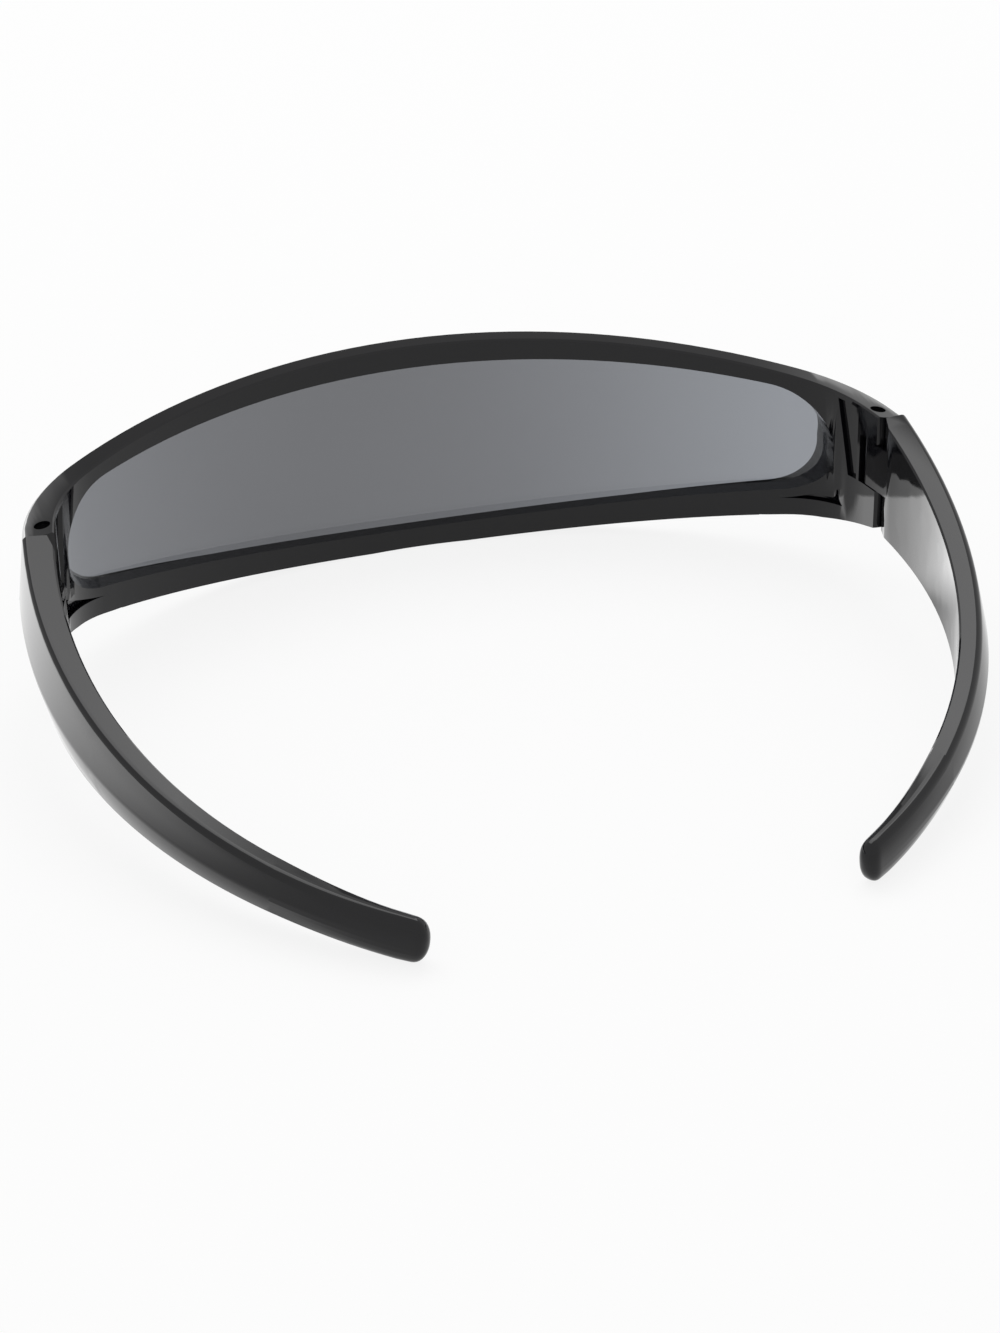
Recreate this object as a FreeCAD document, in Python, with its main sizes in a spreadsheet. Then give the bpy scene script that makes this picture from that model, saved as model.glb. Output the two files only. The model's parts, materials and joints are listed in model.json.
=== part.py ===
import FreeCAD, Part
import Sketcher
import math
import os

# Shield sunglasses: a moulded wrap-around front with one smoke lens, two swept temples and their hinge pins.
# The front faces -Y, +X is the wearer's left, and the part stands on its lower rim and temple tips at Z = 0.
# Each piece is drawn about the pin line: X = 0 midway between the pins, Z = 0 on the endpieces' top faces.

V = FreeCAD.Vector

# Driving dimensions, in millimetres and degrees
SIZES = [
    ("pin_half_span", 70.0, "half the distance between the hinge pins"),
    ("pin_line_ahead", 24.5, "pin line ahead of the middle of the overall depth"),
    ("bow_radius", 93.5, "plan radius of the front, on the pin line"),
    ("corner_radius", 27.4, "plan radius of the wrap-around corners, on the pin line"),
    ("flare", 10.0, "outward heading of the endpieces at the pins"),
    ("wall_in", 1.9, "wall inside the pin line"),
    ("wall_top", 3.0, "wall outside the pin line at the endpieces' top face"),
    ("wall_ridge", 4.4, "wall outside the pin line at the styling ridge"),
    ("wall_foot", 2.4, "wall outside the pin line at the lower rim"),
    ("ridge_drop", 11.0, "ridge below the endpieces' top face"),
    ("crown_rise", 5.9, "top of the brow above the endpieces' top face"),
    ("crown_fall", 5.98, "fall of the brow from the middle to the pins"),
    ("rim_drop", 32.1, "lower rim below the endpieces' top face"),
    ("belly_lift", 10.44, "rise of the lower rim from the middle to the pins"),
    ("land_depth", 0.15, "flat land cut into the middle of the lower rim"),
    ("end_tall", 20.3, "height of each endpiece at its seam"),
    ("end_slope", 0.25, "rise of the endpieces' lower edge toward the seam, per millimetre"),
    ("window_rise", 2.0, "top of the lens opening above the endpieces' top face"),
    ("window_drop", 28.5, "bottom of the lens opening below the endpieces' top face"),
    ("rim_end", 4.6, "end of the lens opening inside the pins, in front view"),
    ("window_fall", 4.01, "fall of the opening's upper edge from the middle to the pins"),
    ("window_lift", 12.01, "rise of the opening's lower edge from the middle to the pins"),
    ("upper_corner", 9.2, "front-view radius of the opening's upper corners"),
    ("lower_corner", 8.7, "front-view radius of the opening's lower corners"),
    ("lens_thick", 1.4, "thickness of the lens"),
    ("lens_ahead", 1.4, "middle of the lens outside the pin line"),
    ("lens_lap", 1.7, "lens edge seated in the rim"),
    ("mouth_grow", 1.0, "widening of the opening ahead of the lens"),
    ("seat_gap", 0.05, "clearance of the lens in its groove"),
    ("recess_depth", 0.7, "depth of the panel recessed inside each endpiece"),
    ("recess_lip", 0.9, "lip above the recessed panel"),
    ("recess_ahead", 7.0, "front edge of the recessed panel ahead of the pin, at the top face"),
    ("recess_rake", 0.2, "rake of that edge toward the pin, per millimetre down"),
    ("recess_back", 6.0, "heading short of the pin at which the recessed panel ends"),
    ("wedge_depth", 1.1, "depth of the wedge recessed under each end of the opening"),
    ("wedge_tip_in", 13.0, "tip of the wedge inside the pin"),
    ("wedge_tip_drop", 22.2, "tip of the wedge below the top face"),
    ("wedge_end_in", 3.5, "blunt end of the wedge inside the pin"),
    ("wedge_high", 16.6, "upper corner of the wedge's blunt end below the top face"),
    ("wedge_low", 19.9, "lower corner of the wedge's blunt end below the top face"),
    ("wedge_radius", 15.8, "radius of the wedge's upper edge"),
    ("pin_to_seam", 3.5, "endpiece behind the pin"),
    ("seam_gap", 0.3, "gap between endpiece and temple"),
    ("slot_top", 5.0, "upper lug thickness"),
    ("slot_tall", 8.6, "height of the hinge slot"),
    ("knuckle_radius", 1.8, "radius of the temple's knuckle"),
    ("slot_gap", 0.2, "clearance of the knuckle in its slot"),
    ("knuckle_root", 2.5, "overlap of the knuckle into the temple"),
    ("relief_in", 0.8, "start of the seam's relief inside the pin line"),
    ("relief_out", 2.6, "end of the seam's relief inside the pin line"),
    ("relief_long", 4.5, "length of the seam's relief"),
    ("pin_dia", 1.5, "hinge pin shank"),
    ("pin_run", 0.04, "radial running clearance of the knuckle on the pin"),
    ("head_dia", 2.4, "hinge pin head"),
    ("head_thick", 1.0, "thickness of the pin head"),
    ("head_sunk", 1.5, "pin head below the top face"),
    ("entry_dia", 2.6, "pin entry hole in the top face"),
    ("pin_reach", 18.0, "foot of the pin below the top face"),
    ("temple_radius", 83.9, "plan radius of the temples, on the pin line"),
    ("temple_sweep", 68.2, "angle that each temple turns through"),
    ("temple_tall", 20.6, "temple height at the hinge"),
    ("temple_waist", 7.4, "middle control height of the temple's taper"),
    ("tip_tall", 7.4, "temple height at the tip"),
    ("fall_ratio", 0.54, "ratio by which a temple's fall runs ahead of a straight line"),
    ("top_waist", 0.7, "offset that draws the temple's top in between hinge and tip"),
    ("tip_top", 1.5, "tip outside the pin line at its top edge"),
    ("tip_ridge", 1.6, "tip outside the pin line at its ridge"),
    ("tip_foot", 0.4, "tip outside the pin line at its lower edge"),
    ("tip_sink", 0.43, "tip lowered so that its round stands on the table"),
    ("tip_past", 2.0, "temple length trimmed off beyond its rounded tip"),
    ("brow_bevel", 0.7, "bevel of the front's outer top edge"),
    ("edge_round", 0.9, "rounding of the temple's outer top edge at the hinge"),
    ("ridge_bevel", 0.5, "flat on each side of the temple's ridge"),
    ("tip_round", 1.0, "rounding of the temple's outer top edge at its tip"),
    ("foot_bevel", 0.5, "bevel of the temple's outer lower edge"),
    ("inner_bevel", 0.3, "bevel of the inner edges"),
    ("ridge_round", 3.0, "rounding of the styling ridge"),
    ("past_middle", 5.0, "overlap of the half shapes past the middle"),
    ("past_pins", 12.0, "reach of the front-view cuts past the pins"),
]

# Depth and setback of the corners that round a temple's outer top edge, as shares of its rounding
EDGE_STEPS = ((1.0, 0.0), (0.5, 0.134), (0.134, 0.5))
TEMPLE_STATIONS = (0.0, 0.25, 0.5, 0.75)


def fill_sheet(doc):
    """Write the driving dimensions into the sheet."""
    sheet = doc.addObject("Spreadsheet::Sheet", "Sizes")
    for row, (alias, value, note) in enumerate(SIZES, start=1):
        sheet.set("A%d" % row, note)
        sheet.set("B%d" % row, str(value))
        sheet.setAlias("B%d" % row, alias)
    doc.recompute()
    return sheet


doc = FreeCAD.newDocument("ShieldSunglasses")
sheet = fill_sheet(doc)


def size(alias):
    """A driving dimension as a number."""
    return float(sheet.get(alias))


def cell(alias):
    """A driving dimension's name in an expression."""
    return "Sizes." + alias


# Bounds that lie beyond the whole part
SPAN = "(Sizes.pin_half_span + Sizes.past_pins)"
FAR = "(2 * Sizes.rim_drop)"
DEEP = "(6 * Sizes.pin_half_span)"
HIGH = "(2 * Sizes.crown_rise)"
LOW = "(1.25 * Sizes.rim_drop)"

# Plan of the front: the bow's arc meets each corner's arc, which ends at the pin
CORNER_X = "(Sizes.pin_half_span - Sizes.corner_radius * cos(Sizes.flare))"
CORNER_Y = "(Sizes.corner_radius * sin(Sizes.flare))"
ARM = "(Sizes.bow_radius - Sizes.corner_radius)"
BOW_Y = "(%s + sqrt(%s ^ 2 - %s ^ 2))" % (CORNER_Y, ARM, CORNER_X)
BOW_TURN = "(asin(%s / %s) / 1 deg)" % (CORNER_X, ARM)

# Plan of a temple: one arc that leaves the seam on the endpiece's heading
SEAM_BACK = "(Sizes.pin_to_seam + Sizes.seam_gap)"
TIP_DROP = "(Sizes.rim_drop - Sizes.tip_tall + Sizes.tip_sink)"
TEMPLE_X = (
    "(Sizes.pin_half_span + %s * sin(Sizes.flare) - Sizes.temple_radius * cos(Sizes.flare))" % SEAM_BACK)
TEMPLE_Y = "(%s * cos(Sizes.flare) + Sizes.temple_radius * sin(Sizes.flare))" % SEAM_BACK

TEMPLE_LONG = "(Sizes.temple_sweep * pi / 180 * Sizes.temple_radius)"


def plan_numbers():
    """Rough plan positions that start the sketches off."""
    flare = math.radians(size("flare"))
    corner_x = size("pin_half_span") - size("corner_radius") * math.cos(flare)
    corner_y = size("corner_radius") * math.sin(flare)
    arm = size("bow_radius") - size("corner_radius")
    bow_y = corner_y + math.sqrt(arm ** 2 - corner_x ** 2)
    turn = math.degrees(math.asin(corner_x / arm))
    back = size("pin_to_seam") + size("seam_gap")
    temple_x = size("pin_half_span") + back * math.sin(flare) - size("temple_radius") * math.cos(flare)
    temple_y = back * math.cos(flare) + size("temple_radius") * math.sin(flare)
    return {"corner": (corner_x, corner_y), "bow": (0.0, bow_y), "turn": turn, "temple": (temple_x, temple_y)}


PLAN = plan_numbers()
span = size("pin_half_span") + size("past_pins")
far = 2 * size("rim_drop")
high = 2 * size("crown_rise")
low = 1.25 * size("rim_drop")
tip_drop = size("rim_drop") - size("tip_tall") + size("tip_sink")


def front_radius(alias):
    """Front-view radius of an edge that falls or rises by the given size from the middle to the pins."""
    half = size("pin_half_span")
    step = size(alias)
    form = "((Sizes.pin_half_span ^ 2 + Sizes.{a} ^ 2) / (2 * Sizes.{a}))"
    return (half ** 2 + step ** 2) / (2 * step), form.format(a=alias)


def plane(body, role):
    """One of a body's own origin planes."""
    return [f for f in body.Origin.OriginFeatures if f.Role == role][0]


def new_sketch(body, name, role):
    """A sketch on one of the body's origin planes."""
    sketch = body.newObject("Sketcher::SketchObject", name)
    sketch.AttachmentSupport = (plane(body, role), [""])
    sketch.MapMode = "FlatFace"
    return sketch


def place(sketch, base, base_terms, axis, angle, angle_term):
    """Shift and turn a sketch on its plane, with the terms that drive the shift and the turn."""
    if angle < 0:
        axis = axis * -1
        angle_term = "-(%s)" % angle_term
    sketch.AttachmentOffset = FreeCAD.Placement(base, FreeCAD.Rotation(axis, abs(angle)))
    for letter, term in base_terms.items():
        sketch.setExpression("AttachmentOffset.Base." + letter, term)
    if abs(angle) > 1e-9:
        sketch.setExpression("AttachmentOffset.Rotation.Angle", angle_term)


def radial_sketch(body, name, centre, centre_terms, angle, angle_term):
    """An upright sketch through a vertical axis: x runs outward from the axis and y runs up."""
    sketch = new_sketch(body, name, "XZ_Plane")
    base = V(centre[0], 0, -centre[1])
    terms = {"x": centre_terms[0], "z": "-(%s)" % centre_terms[1]}
    place(sketch, base, terms, V(0, 1, 0), angle, angle_term)
    return sketch


def pin_sketch(body, name, level, level_term):
    """A level sketch at the pin: x runs outward across the endpiece and y runs back along it."""
    sketch = new_sketch(body, name, "XY_Plane")
    base = V(size("pin_half_span"), 0, level)
    terms = {"x": cell("pin_half_span"), "z": level_term}
    place(sketch, base, terms, V(0, 0, 1), -size("flare"), "-" + cell("flare"))
    return sketch


def fix_point(sketch, geo, end, x_term, y_term, guess):
    """Hold a point of the sketch at the given terms."""
    if x_term == "0":
        sketch.addConstraint(Sketcher.Constraint("PointOnObject", geo, end, -2))
    else:
        index = sketch.addConstraint(Sketcher.Constraint("DistanceX", -1, 1, geo, end, guess[0]))
        sketch.setExpression("Constraints[%d]" % index, x_term)
    if y_term == "0":
        sketch.addConstraint(Sketcher.Constraint("PointOnObject", geo, end, -1))
    else:
        index = sketch.addConstraint(Sketcher.Constraint("DistanceY", -1, 1, geo, end, guess[1]))
        sketch.setExpression("Constraints[%d]" % index, y_term)


def polygon(sketch, corners, guide=False):
    """A closed outline of straight lines; each corner is (x guess, y guess, x term, y term)."""
    count = len(corners)
    first = sketch.GeometryCount
    for i in range(count):
        a = corners[i]
        b = corners[(i + 1) % count]
        sketch.addGeometry(Part.LineSegment(V(a[0], a[1], 0), V(b[0], b[1], 0)), guide)
    for i in range(count):
        nxt = first + (i + 1) % count
        sketch.addConstraint(Sketcher.Constraint("Coincident", first + i, 2, nxt, 1))
    for i, (x, y, x_term, y_term) in enumerate(corners):
        fix_point(sketch, first + i, 1, x_term, y_term, (x, y))
    return first


def corner_arc(before, corner, after, radius):
    """Where a rounded corner's arc starts, is centred and ends."""
    at = V(corner[0], corner[1], 0)
    back = (V(before[0], before[1], 0) - at).normalize()
    ahead = (V(after[0], after[1], 0) - at).normalize()
    half = back.getAngle(ahead) / 2
    run = radius / math.tan(half)
    middle = (back + ahead).normalize() * (radius / math.sin(half))
    return at + back * run, at + middle, at + ahead * run


def rounded_polygon(sketch, corners, rounds):
    """A closed outline drawn counter-clockwise, with a radius and its term for each corner, or None if sharp."""
    count = len(corners)
    guide = polygon(sketch, corners, True)
    bends = []
    for i in range(count):
        if rounds[i]:
            bends.append(corner_arc(corners[i - 1], corners[i], corners[(i + 1) % count], rounds[i][0]))
        else:
            point = V(corners[i][0], corners[i][1], 0)
            bends.append((point, point, point))
    sides = []
    for i in range(count):
        side = line(sketch, bends[i][2], bends[(i + 1) % count][0])
        sketch.addConstraint(Sketcher.Constraint("PointOnObject", side, 1, guide + i))
        sketch.addConstraint(Sketcher.Constraint("PointOnObject", side, 2, guide + i))
        sides.append(side)
    for i in range(count):
        if not rounds[i]:
            sketch.addConstraint(Sketcher.Constraint("Coincident", sides[i - 1], 2, sides[i], 1))
            continue
        start, centre, end = bends[i]
        first_angle = math.atan2(start.y - centre.y, start.x - centre.x)
        last_angle = math.atan2(end.y - centre.y, end.x - centre.x)
        bend = arc(sketch, centre, rounds[i][0], first_angle, last_angle)
        sketch.addConstraint(Sketcher.Constraint("Tangent", sides[i - 1], 2, bend, 1))
        sketch.addConstraint(Sketcher.Constraint("Tangent", bend, 2, sides[i], 1))
        drive(sketch, "Radius", bend, rounds[i][0], rounds[i][1])


def drive(sketch, kind, *args):
    """A dimension of the sketch, driven by the last argument."""
    index = sketch.addConstraint(Sketcher.Constraint(kind, *args[:-1]))
    sketch.setExpression("Constraints[%d]" % index, args[-1])


def arc(sketch, centre, radius, start, end):
    """An arc of a circle, counter-clockwise between two angles in radians."""
    circle = Part.Circle(V(centre[0], centre[1], 0), V(0, 0, 1), radius)
    return sketch.addGeometry(Part.ArcOfCircle(circle, start, end), False)


def line(sketch, a, b):
    """A straight line of the sketch."""
    return sketch.addGeometry(Part.LineSegment(V(a[0], a[1], 0), V(b[0], b[1], 0)), False)


def beyond_arc(sketch, apex, apex_term, radius, radius_term, up):
    """The region beyond a shallow arc: above a brow, or below a belly."""
    sign = 1.0 if up else -1.0
    middle = apex - sign * radius
    left = -size("past_middle")
    lid_at = apex + sign * far
    turn_left = math.acos(left / radius)
    turn_right = math.acos(span / radius)
    z_left = middle + sign * math.sqrt(radius ** 2 - left ** 2)
    z_right = middle + sign * math.sqrt(radius ** 2 - span ** 2)
    rise = line(sketch, (span, z_right), (span, lid_at))
    lid = line(sketch, (span, lid_at), (left, lid_at))
    fall = line(sketch, (left, lid_at), (left, z_left))
    if up:
        curve = arc(sketch, (0, middle), radius, turn_right, turn_left)
        sketch.addConstraint(Sketcher.Constraint("Coincident", curve, 1, rise, 1))
        sketch.addConstraint(Sketcher.Constraint("Coincident", fall, 2, curve, 2))
    else:
        curve = arc(sketch, (0, middle), radius, -turn_left, -turn_right)
        sketch.addConstraint(Sketcher.Constraint("Coincident", curve, 2, rise, 1))
        sketch.addConstraint(Sketcher.Constraint("Coincident", fall, 2, curve, 1))
    sketch.addConstraint(Sketcher.Constraint("Coincident", rise, 2, lid, 1))
    sketch.addConstraint(Sketcher.Constraint("Coincident", lid, 2, fall, 1))
    sketch.addConstraint(Sketcher.Constraint("Vertical", rise))
    sketch.addConstraint(Sketcher.Constraint("Vertical", fall))
    sketch.addConstraint(Sketcher.Constraint("Horizontal", lid))
    sketch.addConstraint(Sketcher.Constraint("PointOnObject", curve, 3, -2))
    drive(sketch, "Radius", curve, radius, radius_term)
    toward, away = ("-", "+") if up else ("+", "-")
    drive(sketch, "DistanceY", -1, 1, curve, 3, middle, "%s %s %s" % (apex_term, toward, radius_term))
    drive(sketch, "DistanceX", -1, 1, rise, 1, span, SPAN)
    drive(sketch, "DistanceX", -1, 1, fall, 1, left, "-Sizes.past_middle")
    drive(sketch, "DistanceY", -1, 1, rise, 2, lid_at, "%s %s %s" % (apex_term, away, FAR))


def window_outline(sketch, grow, grow_term):
    """Half of the lens opening in front view, grown all round, and closed just past the middle."""
    top = size("window_rise") + grow
    foot = -size("window_drop") - grow
    top_radius, top_term = front_radius("window_fall")
    foot_radius, foot_term = front_radius("window_lift")
    top_radius = top_radius + grow
    foot_radius = foot_radius + grow
    upper_corner = size("upper_corner") + grow
    lower_corner = size("lower_corner") + grow
    half = size("pin_half_span") - size("rim_end") + grow
    left = -size("past_middle") / 2
    top_mid = top - top_radius
    foot_mid = foot + foot_radius
    upper_x = half - upper_corner
    lower_x = half - lower_corner
    upper_z = top_mid + math.sqrt((top_radius - upper_corner) ** 2 - upper_x ** 2)
    lower_z = foot_mid - math.sqrt((foot_radius - lower_corner) ** 2 - lower_x ** 2)
    top_angle = math.atan2(upper_z - top_mid, upper_x)
    foot_angle = math.atan2(lower_z - foot_mid, lower_x)
    end_low = min(lower_z, upper_z - 0.1)
    brow = arc(sketch, (0, top_mid), top_radius, top_angle, math.acos(left / top_radius))
    upper = arc(sketch, (upper_x, upper_z), upper_corner, 0.0, top_angle)
    end = line(sketch, (half, end_low), (half, upper_z))
    lower = arc(sketch, (lower_x, lower_z), lower_corner, foot_angle, 0.0)
    belly = arc(sketch, (0, foot_mid), foot_radius, -math.acos(left / foot_radius), foot_angle)
    z_top = top_mid + math.sqrt(top_radius ** 2 - left ** 2)
    z_foot = foot_mid - math.sqrt(foot_radius ** 2 - left ** 2)
    close = line(sketch, (left, z_top), (left, z_foot))
    sketch.addConstraint(Sketcher.Constraint("Tangent", upper, 2, brow, 1))
    sketch.addConstraint(Sketcher.Constraint("Tangent", upper, 1, end, 2))
    sketch.addConstraint(Sketcher.Constraint("Tangent", lower, 2, end, 1))
    sketch.addConstraint(Sketcher.Constraint("Tangent", lower, 1, belly, 2))
    sketch.addConstraint(Sketcher.Constraint("Coincident", brow, 2, close, 1))
    sketch.addConstraint(Sketcher.Constraint("Coincident", close, 2, belly, 1))
    sketch.addConstraint(Sketcher.Constraint("Vertical", end))
    sketch.addConstraint(Sketcher.Constraint("Vertical", close))
    sketch.addConstraint(Sketcher.Constraint("PointOnObject", brow, 3, -2))
    sketch.addConstraint(Sketcher.Constraint("PointOnObject", belly, 3, -2))
    drive(sketch, "DistanceX", -1, 1, close, 1, left, "-Sizes.past_middle / 2")
    drive(sketch, "Radius", brow, top_radius, top_term + " + " + grow_term)
    drive(sketch, "Radius", belly, foot_radius, foot_term + " + " + grow_term)
    drive(sketch, "Radius", upper, upper_corner, "Sizes.upper_corner + " + grow_term)
    drive(sketch, "Radius", lower, lower_corner, "Sizes.lower_corner + " + grow_term)
    drive(sketch, "DistanceX", -1, 1, end, 1, half, "Sizes.pin_half_span - Sizes.rim_end + " + grow_term)
    drive(sketch, "DistanceY", -1, 1, brow, 3, top_mid, "Sizes.window_rise - " + top_term)
    drive(sketch, "DistanceY", -1, 1, belly, 3, foot_mid, foot_term + " - Sizes.window_drop")


def wall_section(sketch, radius, radius_term):
    """The wall's section: a flat inner face and two outer facets that meet at the soft ridge."""
    inner = radius - size("wall_in")
    slope_up = (size("wall_ridge") - size("wall_top")) / size("ridge_drop")
    slope_down = (size("wall_ridge") - size("wall_foot")) / (size("rim_drop") - size("ridge_drop"))
    top = radius + size("wall_top") - slope_up * high
    ridge = radius + size("wall_ridge")
    foot = radius + size("wall_ridge") - slope_down * (low - size("ridge_drop"))
    up_term = "((Sizes.wall_ridge - Sizes.wall_top) / Sizes.ridge_drop)"
    down_term = "((Sizes.wall_ridge - Sizes.wall_foot) / (Sizes.rim_drop - Sizes.ridge_drop))"
    inner_term = "%s - Sizes.wall_in" % radius_term
    top_term = "%s + Sizes.wall_top - %s * %s" % (radius_term, up_term, HIGH)
    ridge_term = "%s + Sizes.wall_ridge" % radius_term
    foot_term = "%s + Sizes.wall_ridge - %s * (%s - Sizes.ridge_drop)" % (radius_term, down_term, LOW)
    soft = (size("ridge_round"), cell("ridge_round"))
    rounded_polygon(sketch, [
        (inner, -low, inner_term, "-" + LOW),
        (foot, -low, foot_term, "-" + LOW),
        (ridge, -size("ridge_drop"), ridge_term, "-Sizes.ridge_drop"),
        (top, high, top_term, HIGH),
        (inner, high, inner_term, HIGH),
    ], [None, None, soft, None, None])


def strip_section(sketch, inner, inner_term, outer, outer_term, foot, foot_term):
    """An upright strip between two radii, from its foot to above the part."""
    polygon(sketch, [
        (inner, foot, inner_term, foot_term),
        (outer, foot, outer_term, foot_term),
        (outer, high, outer_term, HIGH),
        (inner, high, inner_term, HIGH),
    ])


def lens_section(sketch, radius, radius_term):
    """Section of the lens."""
    middle = radius + size("lens_ahead")
    half = size("lens_thick") / 2
    term = radius_term + " + Sizes.lens_ahead %s Sizes.lens_thick / 2"
    strip_section(sketch, middle - half, term % "-", middle + half, term % "+", -low, "-" + LOW)


def seat_section(sketch, radius, radius_term):
    """Section of the groove for the lens, clear of it on both faces."""
    middle = radius + size("lens_ahead")
    half = size("lens_thick") / 2 + size("seat_gap")
    term = radius_term + " + Sizes.lens_ahead %s (Sizes.lens_thick / 2 + Sizes.seat_gap)"
    strip_section(sketch, middle - half, term % "-", middle + half, term % "+", -low, "-" + LOW)


def mouth_section(sketch, radius, radius_term):
    """Section of the space ahead of the lens, from the lens's middle to beyond the wall."""
    inner = radius + size("lens_ahead")
    inner_term = radius_term + " + Sizes.lens_ahead"
    outer = inner + size("wall_ridge")
    strip_section(sketch, inner, inner_term, outer, inner_term + " + Sizes.wall_ridge", -low, "-" + LOW)


def revolve(body, name, sketch, angle, angle_term):
    """Sweep a radial sketch round its own vertical axis."""
    feature = body.newObject("PartDesign::Revolution", name)
    feature.Profile = sketch
    feature.ReferenceAxis = (sketch, ["V_Axis"])
    feature.Angle = angle
    feature.setExpression("Angle", angle_term)
    return feature


def cut_through(body, name, sketch):
    """Cut a region right through the part, from both sides of its plane."""
    feature = body.newObject("PartDesign::Pocket", name)
    feature.Profile = sketch
    feature.SideType = "Symmetric"
    feature.Length = 6 * size("pin_half_span")
    feature.setExpression("Length", DEEP)
    return feature


def cut_level(body, name, sketch, tall, tall_term):
    """Cut a plan region upward from its level."""
    feature = body.newObject("PartDesign::Pocket", name)
    feature.Profile = sketch
    feature.Length = tall
    feature.Reversed = True
    feature.setExpression("Length", tall_term)
    return feature


def front_arcs(body, section):
    """Sweep a section round the bow and round the corner on the wearer's left."""
    middle = radial_sketch(body, "BowSection", PLAN["bow"], ("0", BOW_Y), -90.0, "-90")
    section(middle, size("bow_radius"), "Sizes.bow_radius")
    revolve(body, "Bow", middle, PLAN["turn"], BOW_TURN)
    corner_term = "%s - 90" % BOW_TURN
    side = radial_sketch(
        body, "CornerSection", PLAN["corner"], (CORNER_X, CORNER_Y), PLAN["turn"] - 90.0, corner_term)
    section(side, size("corner_radius"), "Sizes.corner_radius")
    revolve(body, "Corner", side, 90.0 - PLAN["turn"] - size("flare"), "90 - %s - Sizes.flare" % BOW_TURN)


def mirror_whole(body):
    """Mirror all that is built so far to the wearer's right."""
    feature = body.newObject("PartDesign::Mirrored", "OtherSide")
    feature.TransformMode = "Whole shape"
    feature.MirrorPlane = (plane(body, "YZ_Plane"), [""])
    feature.Refine = True
    body.Tip = feature
    return feature


def bounds_outline(sketch):
    """A rectangle in front view round the whole of the half that is drawn."""
    left = -size("past_middle")
    polygon(sketch, [
        (left, -far, "-Sizes.past_middle", "-" + FAR),
        (span, -far, SPAN, "-" + FAR),
        (span, far, SPAN, FAR),
        (left, far, "-Sizes.past_middle", FAR),
    ])


def opening_body(name, section, lap, lap_term):
    """A strip on the front's arcs, trimmed in front view to the opening grown by the lap."""
    body = doc.addObject("PartDesign::Body", name)
    front_arcs(body, section)
    trim = new_sketch(body, "Trim", "XZ_Plane")
    window_outline(trim, lap, lap_term)
    bounds_outline(trim)
    cut_through(body, "TrimCut", trim)
    mirror_whole(body)
    return body


def corner_strip(name, depth, depth_alias, foot, foot_term):
    """A strip that cuts a recess of the given depth into the inside of the corner's wall."""
    body = doc.addObject("PartDesign::Body", name)
    side = radial_sketch(body, "StripSection", PLAN["corner"], (CORNER_X, CORNER_Y), -60.0, "-60")
    inner = size("corner_radius") - size("wall_in")
    inner_term = "Sizes.corner_radius - Sizes.wall_in"
    clear = 2 * size("wall_in")
    outer_term = inner_term + " + " + cell(depth_alias)
    strip_section(
        side, inner - clear, inner_term + " - 2 * Sizes.wall_in", inner + depth, outer_term, foot, foot_term)
    turn = 60.0 - size("flare") - size("recess_back")
    revolve(body, "Strip", side, turn, "60 - Sizes.flare - Sizes.recess_back")
    return body


def panel_tool():
    """The recess inside an endpiece: under a lip that follows the brow, behind a raked front edge."""
    foot = -size("slot_top") - size("slot_tall")
    foot_term = "-(Sizes.slot_top + Sizes.slot_tall)"
    body = corner_strip("panel_tool", size("recess_depth"), "recess_depth", foot, foot_term)
    lip = new_sketch(body, "LipSketch", "XZ_Plane")
    apex = size("crown_rise") - size("recess_lip")
    crown, crown_term = front_radius("crown_fall")
    lip_term = "(%s - Sizes.recess_lip)" % crown_term
    beyond_arc(lip, apex, "Sizes.crown_rise - Sizes.recess_lip", crown - size("recess_lip"), lip_term, True)
    cut_through(body, "LipCut", lip)
    rake = new_sketch(body, "RakeSketch", "YZ_Plane")
    lean = size("recess_rake") * far
    edge_term = "-Sizes.recess_ahead %s Sizes.recess_rake * " + FAR
    polygon(rake, [
        (-far, -far, "-" + FAR, "-" + FAR),
        (lean - size("recess_ahead"), -far, edge_term % "+", "-" + FAR),
        (-lean - size("recess_ahead"), far, edge_term % "-", FAR),
        (-far, far, "-" + FAR, FAR),
    ])
    cut_through(body, "RakeCut", rake)
    return body


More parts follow.
